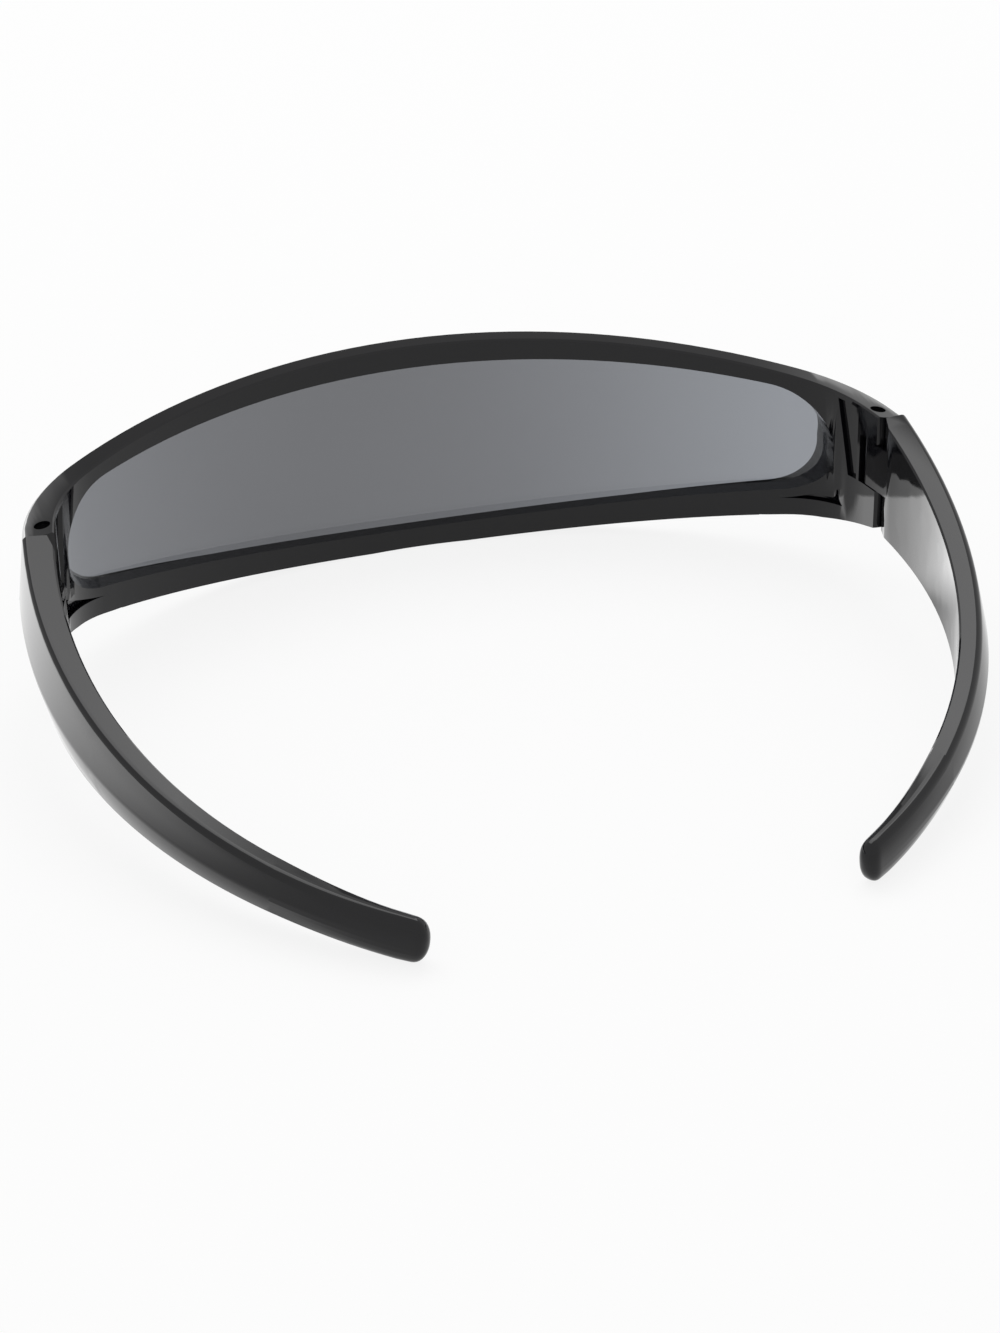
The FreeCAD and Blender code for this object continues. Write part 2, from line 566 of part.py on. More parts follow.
def wedge_tool():
    """The wedge-shaped recess between the end of the opening and the lower rim."""
    body = corner_strip("wedge_tool", size("wedge_depth"), "wedge_depth", -low, "-" + LOW)
    trim = new_sketch(body, "WedgeTrim", "XZ_Plane")
    tip = (size("pin_half_span") - size("wedge_tip_in"), -size("wedge_tip_drop"))
    end_x = size("pin_half_span") - size("wedge_end_in")
    radius = size("wedge_radius")
    chord = V(end_x - tip[0], -size("wedge_high") - tip[1], 0)
    middle = V(tip[0], tip[1], 0) + chord * 0.5
    inward = V(-chord.y, chord.x, 0).normalize()
    centre = middle + inward * math.sqrt(radius ** 2 - (chord.Length / 2) ** 2)
    first_angle = math.atan2(tip[1] - centre.y, tip[0] - centre.x)
    last_angle = math.atan2(-size("wedge_high") - centre.y, end_x - centre.x)
    upper = arc(trim, centre, radius, first_angle, last_angle)
    end = line(trim, (end_x, -size("wedge_high")), (end_x, -size("wedge_low")))
    lower = line(trim, (end_x, -size("wedge_low")), tip)
    trim.addConstraint(Sketcher.Constraint("Coincident", upper, 2, end, 1))
    trim.addConstraint(Sketcher.Constraint("Coincident", end, 2, lower, 1))
    trim.addConstraint(Sketcher.Constraint("Coincident", lower, 2, upper, 1))
    end_term = "Sizes.pin_half_span - Sizes.wedge_end_in"
    fix_point(trim, lower, 2, "Sizes.pin_half_span - Sizes.wedge_tip_in", "-Sizes.wedge_tip_drop", tip)
    fix_point(trim, end, 1, end_term, "-Sizes.wedge_high", (end_x, -size("wedge_high")))
    fix_point(trim, end, 2, end_term, "-Sizes.wedge_low", (end_x, -size("wedge_low")))
    drive(trim, "Radius", upper, radius, cell("wedge_radius"))
    bounds_outline(trim)
    cut_through(body, "WedgeCut", trim)
    return body


def cut_with(body, name, tools):
    """Cut other bodies out of this one."""
    feature = body.newObject("PartDesign::Boolean", name)
    feature.setObjects(tools)
    feature.Type = "Cut"
    feature.Refine = True
    return feature


def front_frame():
    """The moulded front: wall, brow and belly, lens opening, and an endpiece with hinge lugs at each end."""
    body = doc.addObject("PartDesign::Body", "front_frame")
    front_arcs(body, wall_section)
    end = radial_sketch(
        body, "EndSection", PLAN["corner"], (CORNER_X, CORNER_Y), -size("flare"), "-Sizes.flare")
    wall_section(end, size("corner_radius"), "Sizes.corner_radius")
    stub = body.newObject("PartDesign::Pad", "Endpiece")
    stub.Profile = end
    stub.Length = size("pin_to_seam")
    stub.Reversed = True
    stub.setExpression("Length", cell("pin_to_seam"))

    trim_rims(body)
    bevel_brow(body)
    window = new_sketch(body, "WindowSketch", "XZ_Plane")
    window_outline(window, 0.0, "0")
    cut_through(body, "WindowCut", window)
    cut_with(body, "Recesses", [panel_tool(), wedge_tool()])
    hinge_cuts(body)
    mirror_whole(body)

    lap = size("lens_lap") + size("seat_gap")
    seat = opening_body("lens_seat", seat_section, lap, "Sizes.lens_lap + Sizes.seat_gap")
    mouth = opening_body("lens_mouth", mouth_section, size("mouth_grow"), cell("mouth_grow"))
    cut_with(body, "LensGroove", [seat, mouth])
    return body


def trim_rims(body):
    """Cut the brow and belly to their front-view arcs, with the middle land and the endpiece's lower edge."""
    brow = new_sketch(body, "BrowSketch", "XZ_Plane")
    crown, crown_term = front_radius("crown_fall")
    beyond_arc(brow, size("crown_rise"), cell("crown_rise"), crown, crown_term, True)
    cut_through(body, "BrowCut", brow)
    belly = new_sketch(body, "BellySketch", "XZ_Plane")
    belly_low = -size("rim_drop") - size("land_depth")
    belly_term = "(-Sizes.rim_drop - Sizes.land_depth)"
    belly_radius, radius_term = front_radius("belly_lift")
    beyond_arc(belly, belly_low, belly_term, belly_radius, radius_term, False)
    cut_through(body, "BellyCut", belly)
    land = new_sketch(body, "LandSketch", "XZ_Plane")
    half = size("pin_half_span") / 2
    half_term = "Sizes.pin_half_span / 2"
    left = -size("past_middle")
    left_term = "-Sizes.past_middle"
    polygon(land, [
        (left, -far, left_term, "-" + FAR),
        (half, -far, half_term, "-" + FAR),
        (half, -size("rim_drop"), half_term, "-Sizes.rim_drop"),
        (left, -size("rim_drop"), left_term, "-Sizes.rim_drop"),
    ])
    cut_through(body, "LandCut", land)
    heel = new_sketch(body, "HeelSketch", "YZ_Plane")
    fore = -5 * size("pin_to_seam")
    aft = 3 * size("pin_to_seam")
    fore_term = "(-5 * Sizes.pin_to_seam)"
    aft_term = "(3 * Sizes.pin_to_seam)"
    heel_term = "-Sizes.end_tall + Sizes.end_slope * (%s - Sizes.pin_to_seam)"
    heel_fore = -size("end_tall") + size("end_slope") * (fore - size("pin_to_seam"))
    heel_aft = -size("end_tall") + size("end_slope") * (aft - size("pin_to_seam"))
    polygon(heel, [
        (fore, -far, fore_term, "-" + FAR),
        (aft, -far, aft_term, "-" + FAR),
        (aft, heel_aft, aft_term, heel_term % aft_term),
        (fore, heel_fore, fore_term, heel_term % fore_term),
    ])
    cut_through(body, "HeelCut", heel)


def wall_offset(point):
    """How far a point lies outside the pin line in plan."""
    bow = PLAN["bow"]
    corner = PLAN["corner"]
    flare = math.radians(size("flare"))
    heading = math.degrees(math.atan2(point.x, bow[1] - point.y))
    if heading <= PLAN["turn"]:
        return math.hypot(point.x, point.y - bow[1]) - size("bow_radius")
    aside = V(point.x - size("pin_half_span"), point.y, 0)
    if aside.dot(V(math.sin(flare), math.cos(flare), 0)) > 0:
        return aside.dot(V(math.cos(flare), -math.sin(flare), 0))
    return math.hypot(point.x - corner[0], point.y - corner[1]) - size("corner_radius")


def brow_edges(shape, outside):
    """Names of the long edges along the brow, on its outside or its inside."""
    radius = front_radius("crown_fall")[0]
    names = []
    for number, edge in enumerate(shape.Edges, start=1):
        points = edge.discretize(5)
        on_brow = True
        for p in points:
            level = size("crown_rise") - radius + math.sqrt(radius ** 2 - p.x ** 2)
            on_brow = on_brow and abs(p.z - level) < 0.02
        offsets = [wall_offset(p) for p in points]
        along = max(offsets) - min(offsets) < 1.0
        if on_brow and along and (min(offsets) > 0) == outside:
            names.append("Edge%d" % number)
    return names


def bevel_brow(body):
    """Bevel the brow's outer edge and, more finely, its inner edge."""
    for name, outside, alias in (("BrowBevel", True, "brow_bevel"), ("BrowEase", False, "inner_bevel")):
        doc.recompute()
        base = body.Tip
        feature = body.newObject("PartDesign::Chamfer", name)
        feature.Base = (base, brow_edges(base.Shape, outside))
        feature.Size = size(alias)
        feature.setExpression("Size", cell(alias))


def hinge_cuts(body):
    """The hinge slot between two lugs, the lugs' rounded inner corner, and the pin's stepped hole."""
    bottom = -size("slot_top") - size("slot_tall")
    bottom_term = "-(Sizes.slot_top + Sizes.slot_tall)"
    slot = pin_sketch(body, "SlotSketch", bottom, bottom_term)
    reach = size("knuckle_radius") + size("slot_gap")
    reach_term = "(Sizes.knuckle_radius + Sizes.slot_gap)"
    past = 2 * size("pin_to_seam")
    past_term = "2 * Sizes.pin_to_seam"
    polygon(slot, [
        (-past, -reach, "-" + past_term, "-" + reach_term),
        (reach, -reach, reach_term, "-" + reach_term),
        (reach, past, reach_term, past_term),
        (-past, past, "-" + past_term, past_term),
    ])
    cut_level(body, "HingeSlot", slot, size("slot_tall"), cell("slot_tall"))

    round_off = pin_sketch(body, "LugCornerSketch", -far, "-" + FAR)
    radius = size("pin_to_seam")
    curve = arc(round_off, (0, 0), radius, math.pi / 2, math.pi)
    side = line(round_off, (-radius, 0), (-radius, radius + 1))
    lid = line(round_off, (-radius, radius + 1), (0, radius + 1))
    fall = line(round_off, (0, radius + 1), (0, radius))
    round_off.addConstraint(Sketcher.Constraint("Coincident", curve, 3, -1, 1))
    round_off.addConstraint(Sketcher.Constraint("Coincident", curve, 2, side, 1))
    round_off.addConstraint(Sketcher.Constraint("Coincident", side, 2, lid, 1))
    round_off.addConstraint(Sketcher.Constraint("Coincident", lid, 2, fall, 1))
    round_off.addConstraint(Sketcher.Constraint("Coincident", fall, 2, curve, 1))
    round_off.addConstraint(Sketcher.Constraint("Vertical", side))
    round_off.addConstraint(Sketcher.Constraint("Horizontal", lid))
    round_off.addConstraint(Sketcher.Constraint("PointOnObject", curve, 1, -2))
    round_off.addConstraint(Sketcher.Constraint("PointOnObject", curve, 2, -1))
    round_off.addConstraint(Sketcher.Constraint("PointOnObject", lid, 2, -2))
    drive(round_off, "Radius", curve, radius, cell("pin_to_seam"))
    drive(round_off, "DistanceY", -1, 1, lid, 2, radius + 1, "Sizes.pin_to_seam + 1")
    cut_level(body, "LugCorner", round_off, 2 * far, "2 * " + FAR)

    foot = -size("pin_reach")
    bore = pin_sketch(body, "PinBoreSketch", foot, "-Sizes.pin_reach")
    ring = bore.addGeometry(Part.Circle(V(0, 0, 0), V(0, 0, 1), size("pin_dia") / 2), False)
    bore.addConstraint(Sketcher.Constraint("Coincident", ring, 3, -1, 1))
    drive(bore, "Radius", ring, size("pin_dia") / 2, "Sizes.pin_dia / 2")
    cut_level(body, "PinBore", bore, far, FAR)

    floor = -size("head_sunk") - size("head_thick")
    entry = pin_sketch(body, "PinEntrySketch", floor, "-(Sizes.head_sunk + Sizes.head_thick)")
    rim = entry.addGeometry(Part.Circle(V(0, 0, 0), V(0, 0, 1), size("entry_dia") / 2), False)
    entry.addConstraint(Sketcher.Constraint("Coincident", rim, 3, -1, 1))
    drive(entry, "Radius", rim, size("entry_dia") / 2, "Sizes.entry_dia / 2")
    cut_level(body, "PinEntry", entry, far, FAR)


def shield_lens():
    """The one-piece lens, seated all round in the rim's groove."""
    return opening_body("shield_lens", lens_section, size("lens_lap"), cell("lens_lap"))


def drawn_in(root, waist, tip, along, along_term):
    """A size that runs from root to tip along the temple, drawn toward a waist size between them."""
    value = (1 - along) ** 2 * size(root) + 2 * along * (1 - along) * size(waist) + along ** 2 * size(tip)
    form = "((1 - {a}) ^ 2 * Sizes.{r} + 2 * {a} * (1 - {a}) * Sizes.{w} + {a} ^ 2 * Sizes.{t})"
    return value, form.format(a=along_term, r=root, w=waist, t=tip)


def temple_height(along, along_term):
    """A temple's height at a share of its length, as a number and a term."""
    return drawn_in("temple_tall", "temple_waist", "tip_tall", along, along_term)


def temple_fall(along, along_term):
    """How far a temple's top has fallen at a share of its length, as a number and a term."""
    value = tip_drop * (along + size("fall_ratio") * along * (1 - along))
    form = "({d} * ({a} + Sizes.fall_ratio * {a} * (1 - {a})))"
    return value, form.format(d=TIP_DROP, a=along_term)


def temple_section(sketch, along, along_term):
    """A temple section at a share of its length: flat inside, two facets outside, with rounded edges."""
    radius = size("temple_radius")
    tall, tall_term = temple_height(along, along_term)
    fallen, fallen_term = temple_fall(along, along_term)
    top_z = -fallen
    foot_z = top_z - tall
    top_z_term = "(-%s)" % fallen_term
    foot_z_term = "(%s - %s)" % (top_z_term, tall_term)
    ridge_z = top_z - tall * size("ridge_drop") / size("temple_tall")
    ridge_z_term = "(%s - %s * Sizes.ridge_drop / Sizes.temple_tall)" % (top_z_term, tall_term)

    def blend(root, tip):
        value = size(root) + (size(tip) - size(root)) * along
        term = "(Sizes.{r} + (Sizes.{t} - Sizes.{r}) * {a})".format(r=root, t=tip, a=along_term)
        return value, term

    top, top_term = drawn_in("wall_top", "top_waist", "tip_top", along, along_term)
    ridge, ridge_term = blend("wall_ridge", "tip_ridge")
    foot, foot_term = blend("wall_foot", "tip_foot")
    inner = radius - size("wall_in")
    inner_term = "Sizes.temple_radius - Sizes.wall_in"
    base = "Sizes.temple_radius + "
    edge, edge_term = blend("edge_round", "tip_round")
    upper = (ridge - top) / (top_z - ridge_z)
    upper_term = "((%s - %s) / (%s - %s))" % (ridge_term, top_term, top_z_term, ridge_z_term)
    lower = (ridge - foot) / (ridge_z - foot_z)
    lower_term = "((%s - %s) / (%s - %s))" % (ridge_term, foot_term, ridge_z_term, foot_z_term)
    ease = size("inner_bevel")
    bevel = size("foot_bevel")
    flat = size("ridge_bevel")
    corners = [
        (inner, foot_z + ease, inner_term, foot_z_term + " + Sizes.inner_bevel"),
        (inner + ease, foot_z, inner_term + " + Sizes.inner_bevel", foot_z_term),
        (radius + foot - bevel, foot_z, base + foot_term + " - Sizes.foot_bevel", foot_z_term),
        (radius + foot + lower * bevel, foot_z + bevel,
         base + foot_term + " + Sizes.foot_bevel * " + lower_term, foot_z_term + " + Sizes.foot_bevel"),
        (radius + ridge - lower * flat, ridge_z - flat,
         base + ridge_term + " - Sizes.ridge_bevel * " + lower_term, ridge_z_term + " - Sizes.ridge_bevel"),
        (radius + ridge - upper * flat, ridge_z + flat,
         base + ridge_term + " - Sizes.ridge_bevel * " + upper_term, ridge_z_term + " + Sizes.ridge_bevel"),
    ]
    for deep, back in EDGE_STEPS:
        x_term = base + "%s + %s * (%s * %s - %s)" % (top_term, edge_term, deep, upper_term, back)
        z_term = "%s - %s * %s" % (top_z_term, deep, edge_term)
        corners.append((radius + top + edge * (deep * upper - back), top_z - deep * edge, x_term, z_term))
    top_level = top_z_term if along else "0"
    corners.append((radius + top - edge, top_z, base + top_term + " - " + edge_term, top_level))
    corners.append((inner + ease, top_z, inner_term + " + Sizes.inner_bevel", top_level))
    corners.append((inner, top_z - ease, inner_term, top_z_term + " - Sizes.inner_bevel"))
    polygon(sketch, corners)


def temple_station(body, name, along, along_term):
    """A section sketch set square to the temple's arc at a share of its length."""
    angle = size("temple_sweep") * along - size("flare")
    term = "Sizes.temple_sweep * %s - Sizes.flare" % along_term
    sketch = radial_sketch(body, name, PLAN["temple"], (TEMPLE_X, TEMPLE_Y), angle, term)
    temple_section(sketch, along, along_term)
    return sketch


def left_temple():
    """A swept temple: tall at the hinge, slim at the tip, with the knuckle for the endpiece's slot."""
    body = doc.addObject("PartDesign::Body", "left_temple")
    sections = []
    for number, along in enumerate(TEMPLE_STATIONS):
        sections.append(temple_station(body, "Station%d" % number, along, str(along)))
    past = 1 + size("tip_past") / temple_length()
    sections.append(temple_station(body, "StationEnd", past, "(1 + Sizes.tip_past / %s)" % TEMPLE_LONG))
    blade = body.newObject("PartDesign::AdditiveLoft", "Blade")
    blade.Profile = sections[0]
    blade.Sections = sections[1:]
    round_tip(body)
    temple_hinge(body)
    return body


def temple_length():
    """Length of the temple along its arc."""
    return math.radians(size("temple_sweep")) * size("temple_radius")


def beyond_nose(sketch, centre, centre_terms, radius, radius_term, heading, heading_term):
    """The region beyond a half-round nose that points along a heading in the sketch."""
    reach = size("temple_tall")
    ahead = V(math.cos(heading), math.sin(heading), 0) * reach
    aside = V(-math.sin(heading), math.cos(heading), 0) * reach
    at = V(centre[0], centre[1], 0)
    cosine = "Sizes.temple_tall * cos(%s)" % heading_term
    sine = "Sizes.temple_tall * sin(%s)" % heading_term
    x_term, y_term = centre_terms
    corners = [
        (at + aside, "%s - %s" % (x_term, sine), "%s + %s" % (y_term, cosine)),
        (at + aside + ahead,
         "%s - %s + %s" % (x_term, sine, cosine), "%s + %s + %s" % (y_term, cosine, sine)),
        (at - aside + ahead,
         "%s + %s + %s" % (x_term, sine, cosine), "%s - %s + %s" % (y_term, cosine, sine)),
        (at - aside, "%s + %s" % (x_term, sine), "%s - %s" % (y_term, cosine)),
    ]
    share = radius / reach
    sides = [line(sketch, at + aside * share, corners[0][0])]
    for a, b in zip(corners[:-1], corners[1:]):
        sides.append(line(sketch, a[0], b[0]))
    sides.append(line(sketch, corners[-1][0], at - aside * share))
    nose = arc(sketch, centre, radius, heading - math.pi / 2, heading + math.pi / 2)
    for a, b in zip(sides[:-1], sides[1:]):
        sketch.addConstraint(Sketcher.Constraint("Coincident", a, 2, b, 1))
    sketch.addConstraint(Sketcher.Constraint("Coincident", sides[-1], 2, nose, 1))
    sketch.addConstraint(Sketcher.Constraint("Coincident", nose, 2, sides[0], 1))
    for side, (point, corner_x, corner_y) in zip(sides, corners):
        fix_point(sketch, side, 2, corner_x, corner_y, point)
    fix_point(sketch, nose, 3, x_term, y_term, centre)
    drive(sketch, "Radius", nose, radius, radius_term)
    sketch.addConstraint(Sketcher.Constraint("PointOnObject", nose, 3, sides[0]))
    sketch.addConstraint(Sketcher.Constraint("PointOnObject", nose, 3, sides[-1]))


def round_tip(body):
    """Trim the temple's end to a half round, seen from the side in line with its fall and seen from above."""
    long = temple_length()
    along = 1 - size("tip_tall") / 2 / long
    along_term = "(1 - Sizes.tip_tall / 2 / %s)" % TEMPLE_LONG
    tall, tall_term = temple_height(along, along_term)
    fall = math.atan((tip_drop * (1 - size("fall_ratio")) + size("tip_tall") - size("temple_waist")) / long)
    fall_term = "(atan((%s * (1 - Sizes.fall_ratio) + Sizes.tip_tall - Sizes.temple_waist) / %s) / 1 deg)" % (
        TIP_DROP, TEMPLE_LONG)
    angle = size("temple_sweep") * along - size("flare")
    angle_term = "Sizes.temple_sweep * %s - Sizes.flare" % along_term
    fallen, fallen_term = temple_fall(along, along_term)
    mid = -fallen - tall / 2
    mid_term = "(-%s - %s / 2)" % (fallen_term, tall_term)
    radius = tall / 2 * math.cos(fall)
    radius_term = "(%s / 2 * cos(%s))" % (tall_term, fall_term)
    profile = radial_sketch(
        body, "TipSketch", PLAN["temple"], (TEMPLE_X, TEMPLE_Y), angle + 90.0, angle_term + " + 90")
    beyond_nose(profile, (0.0, mid), ("0", mid_term), radius, radius_term, -fall, "(-%s)" % fall_term)
    cut_through(body, "TipCut", profile)

    plan = new_sketch(body, "TipPlanSketch", "XY_Plane")
    base = V(PLAN["temple"][0], PLAN["temple"][1], -far)
    terms = {"x": TEMPLE_X, "y": TEMPLE_Y, "z": "-" + FAR}
    place(plan, base, terms, V(0, 0, 1), angle, angle_term)
    half = (size("wall_in") + size("tip_ridge")) / 2
    half_term = "((Sizes.wall_in + Sizes.tip_ridge) / 2)"
    middle = size("temple_radius") - size("wall_in") + half
    middle_term = "Sizes.temple_radius - Sizes.wall_in + " + half_term
    back_term = "(%s - %s)" % (radius_term, half_term)
    beyond_nose(plan, (middle, radius - half), (middle_term, back_term), half, half_term, math.pi / 2, "90")
    cut_level(body, "TipPlanCut", plan, 2 * far, "2 * " + FAR)


def temple_hinge(body):
    """The relieved inner corner at the seam, and the bored knuckle."""
    back = size("pin_to_seam") + size("seam_gap")
    relief = pin_sketch(body, "ReliefSketch", -far, "-" + FAR)
    near = -size("relief_in")
    away = -size("relief_out")
    fore = back - size("seam_gap")
    fore_term = SEAM_BACK + " - Sizes.seam_gap"
    polygon(relief, [
        (near, fore, "-Sizes.relief_in", fore_term),
        (near, back, "-Sizes.relief_in", SEAM_BACK),
        (away, back + size("relief_long"), "-Sizes.relief_out", SEAM_BACK + " + Sizes.relief_long"),
        (away, fore, "-Sizes.relief_out", fore_term),
    ])
    cut_level(body, "Relief", relief, 2 * far, "2 * " + FAR)

    low = -size("slot_top") - size("slot_tall") + size("slot_gap")
    low_term = "-(Sizes.slot_top + Sizes.slot_tall - Sizes.slot_gap)"
    shape = pin_sketch(body, "KnuckleSketch", low, low_term)
    radius = size("knuckle_radius")
    root = back + size("knuckle_root")
    nose = arc(shape, (0, 0), radius, math.pi, 2 * math.pi)
    right = line(shape, (radius, 0), (radius, root))
    lid = line(shape, (radius, root), (-radius, root))
    left = line(shape, (-radius, root), (-radius, 0))
    shape.addConstraint(Sketcher.Constraint("Coincident", nose, 3, -1, 1))
    shape.addConstraint(Sketcher.Constraint("Tangent", nose, 2, right, 1))
    shape.addConstraint(Sketcher.Constraint("Coincident", right, 2, lid, 1))
    shape.addConstraint(Sketcher.Constraint("Coincident", lid, 2, left, 1))
    shape.addConstraint(Sketcher.Constraint("Tangent", left, 2, nose, 1))
    shape.addConstraint(Sketcher.Constraint("Vertical", right))
    shape.addConstraint(Sketcher.Constraint("Vertical", left))
    shape.addConstraint(Sketcher.Constraint("Horizontal", lid))
    drive(shape, "Radius", nose, radius, cell("knuckle_radius"))
    drive(shape, "DistanceY", -1, 1, lid, 1, root, SEAM_BACK + " + Sizes.knuckle_root")
    knuckle = body.newObject("PartDesign::Pad", "Knuckle")
    knuckle.Profile = shape
    knuckle.Length = size("slot_tall") - 2 * size("slot_gap")
    knuckle.setExpression("Length", "Sizes.slot_tall - 2 * Sizes.slot_gap")

    bore = pin_sketch(body, "KnuckleBoreSketch", -far, "-" + FAR)
    hole = size("pin_dia") / 2 + size("pin_run")
    ring = bore.addGeometry(Part.Circle(V(0, 0, 0), V(0, 0, 1), hole), False)
    bore.addConstraint(Sketcher.Constraint("Coincident", ring, 3, -1, 1))
    drive(bore, "Radius", ring, hole, "Sizes.pin_dia / 2 + Sizes.pin_run")
    cut_level(body, "KnuckleBore", bore, 2 * far, "2 * " + FAR)


def left_hinge_pin():
    """A headed pin, pushed down through both lugs and the knuckle, its head sunk in the entry hole."""
    body = doc.addObject("PartDesign::Body", "left_hinge_pin")
    sketch = radial_sketch(
        body, "PinSection", (size("pin_half_span"), 0.0), (cell("pin_half_span"), "0"), 0.0, "0")
    head = size("head_dia") / 2
    shank = size("pin_dia") / 2
    top = -size("head_sunk")
    under = top - size("head_thick")
    foot = -size("pin_reach")
    top_term = "-Sizes.head_sunk"
    under_term = "-(Sizes.head_sunk + Sizes.head_thick)"
    polygon(sketch, [
        (0.0, foot, "0", "-Sizes.pin_reach"),
        (shank, foot, "Sizes.pin_dia / 2", "-Sizes.pin_reach"),
        (shank, under, "Sizes.pin_dia / 2", under_term),
        (head, under, "Sizes.head_dia / 2", under_term),
        (head, top, "Sizes.head_dia / 2", top_term),
        (0.0, top, "0", top_term),
    ])
    revolve(body, "Pin", sketch, 360.0, "360")
    return body


def other_side(source, label):
    """The mirrored twin of a piece on the wearer's left."""
    twin = doc.addObject("Part::Mirroring", label)
    twin.Source = source
    twin.Normal = V(1, 0, 0)
    return twin


def stand(piece):
    """Set a piece down so that the part stands centred on Z = 0."""
    piece.Placement = FreeCAD.Placement(V(0, -size("pin_line_ahead"), size("rim_drop")), FreeCAD.Rotation())
    piece.setExpression("Placement.Base.y", "-Sizes.pin_line_ahead")
    piece.setExpression("Placement.Base.z", cell("rim_drop"))


def check_built(pieces):
    """Stop if any object failed or any piece is not one sound solid."""
    for item in doc.Objects:
        if "Invalid" in item.State or "Error" in item.State:
            raise RuntimeError("%s did not build: %s" % (item.Name, item.State))
    for piece in pieces:
        shape = piece.Shape
        if shape.isNull() or not shape.isValid() or len(shape.Solids) != 1:
            raise RuntimeError("%s is not one sound solid" % piece.Label)


frame = front_frame()
lens = shield_lens()
temple = left_temple()
pin = left_hinge_pin()
doc.recompute()
left_pieces = [frame, lens, temple, pin]
for piece in left_pieces:
    stand(piece)
pieces = left_pieces + [other_side(temple, "right_temple"), other_side(pin, "right_hinge_pin")]
doc.recompute()
check_built(pieces)

os.makedirs("parts", exist_ok=True)
for piece in pieces:
    box = piece.Shape.BoundBox
    print("%-16s x %.2f %.2f  y %.2f %.2f  z %.2f %.2f  volume %.1f" % (
        piece.Label, box.XMin, box.XMax, box.YMin, box.YMax, box.ZMin, box.ZMax, piece.Shape.Volume))
    piece.Shape.exportStep("parts/%s.step" % piece.Label)
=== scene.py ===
import json
import math

import bmesh
import bpy
from mathutils import Matrix, Vector


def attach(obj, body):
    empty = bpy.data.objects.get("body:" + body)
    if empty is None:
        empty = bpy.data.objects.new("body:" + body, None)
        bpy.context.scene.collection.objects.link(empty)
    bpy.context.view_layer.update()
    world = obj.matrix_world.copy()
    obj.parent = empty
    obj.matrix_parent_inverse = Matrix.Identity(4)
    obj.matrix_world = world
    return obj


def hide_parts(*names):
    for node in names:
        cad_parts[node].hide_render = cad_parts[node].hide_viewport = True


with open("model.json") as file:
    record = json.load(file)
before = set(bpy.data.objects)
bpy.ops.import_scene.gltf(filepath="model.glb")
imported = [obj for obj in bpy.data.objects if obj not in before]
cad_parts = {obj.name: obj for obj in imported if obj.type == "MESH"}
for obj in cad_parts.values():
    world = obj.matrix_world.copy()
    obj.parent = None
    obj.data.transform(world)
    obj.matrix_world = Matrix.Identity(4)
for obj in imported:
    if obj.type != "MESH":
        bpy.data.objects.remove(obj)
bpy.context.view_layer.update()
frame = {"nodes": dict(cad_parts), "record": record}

# Shield sunglasses in a white studio; lengths are in metres

FRONT_NODE = "front_frame"
LENS_NODE = "shield_lens"
TEMPLES = ("left_temple", "right_temple")
PIN_NODES = ("left_hinge_pin", "right_hinge_pin")

# Photograph's camera: focal length in pixels of a 1000 by 1333 image, angles in radians, sensor in mm
FOCAL_PX = 3141.8
IMAGE_TALL = 1333.0
PITCH = 0.502736
YAW = 0.277029
ROLL = -0.017534
CAMERA_AT = Vector((0.122131, 0.418355, 0.247517))
SENSOR_TALL = 36.0
CLIP_START = 0.01

# Noise: the range of its values that is spread out, since few lie beyond
NOISE_LOW = 0.3
NOISE_HIGH = 0.7

# Gloss black plastic: the base colour and the roughness run between two values
PLASTIC_IOR = 1.38
PLASTIC_DEEP = (0.0022, 0.0021, 0.003, 1.0)
PLASTIC_PALE = (0.0045, 0.0043, 0.0056, 1.0)
PLASTIC_HAZE = (0.03, 0.075)
RIPPLE_STRENGTH = 0.03
RIPPLE_HEIGHT = 0.00004

# Smoke lens: pairs of colours at its darkest line and where it is palest, partly its own tint and partly
# painted shade
LENS_IOR = 1.45
LENS_DEEP_TINT_AND_SHADE = ((0.136, 0.139, 0.149, 1.0), (0.148, 0.152, 0.162, 1.0))
LENS_PALE_TINT_AND_SHADE = ((0.262, 0.276, 0.303, 1.0), (0.278, 0.293, 0.32, 1.0))
LENS_HAZE = (0.0, 0.02)
# Where its darkest line lies across the part, off centre so that the +X end carries painted shade, and how
# far from that line it is palest
LENS_DARKEST_X = 0.018
LENS_FALLOFF_REACH = 0.08

# Pin steel
STEEL_DARK = (0.30, 0.30, 0.31, 1.0)
STEEL_PALE = (0.45, 0.45, 0.46, 1.0)
STEEL_HAZE = (0.25, 0.45)

# Plastic's shading: the gap that is welded, the turn that stays crisp, and a weight by face area alone
WELD_GAP = 1e-6
SHARP_EDGE = math.radians(38.0)
AREA_WEIGHT = 50

# A temple's top strip: the least upward part of its faces' normals, and a weight for the larger faces
TOP_LEVEL = 0.975
TOP_WEIGHT = 55

# How a temple's end rounds off: the length that is replaced, and its rings up to the dome
TIP_REACH = 0.024
TIP_STEPS = 12
# What the rounded end stops short of the solid's own end
TIP_TRIM = 0.0003
# Power of the rounded outline, where 2 is an ellipse, and the share of rounding that ends crisp lines
TIP_ROUND = 2.5
LINES_FADE = 0.85
# The dome: its length, the length over which its sides close in, its rings, and the power of its profile
TIP_DOME = 0.0026
TIP_EASE = 0.0017
DOME_STEPS = 9
DOME_POWER = 2.2
# The last ring stops short of the peak by this part of a step
DOME_SHORT = 0.5
# Spacing of the points along a section's longer sides, and how close the outer ones lie to a corner
LOOP_STEP = 0.0005
LOOP_MARGIN = 0.00006

# Floor: how much of it shows as plain white, the rest being a surface that takes the shadow
FLOOR_SIZE = 6.0
FLOOR_LEVEL = -0.0002
FLOOR_COLOUR = (0.96, 0.96, 0.96, 1.0)
FLOOR_ROUGHNESS = 0.9
FLOOR_WHITE = 0.85

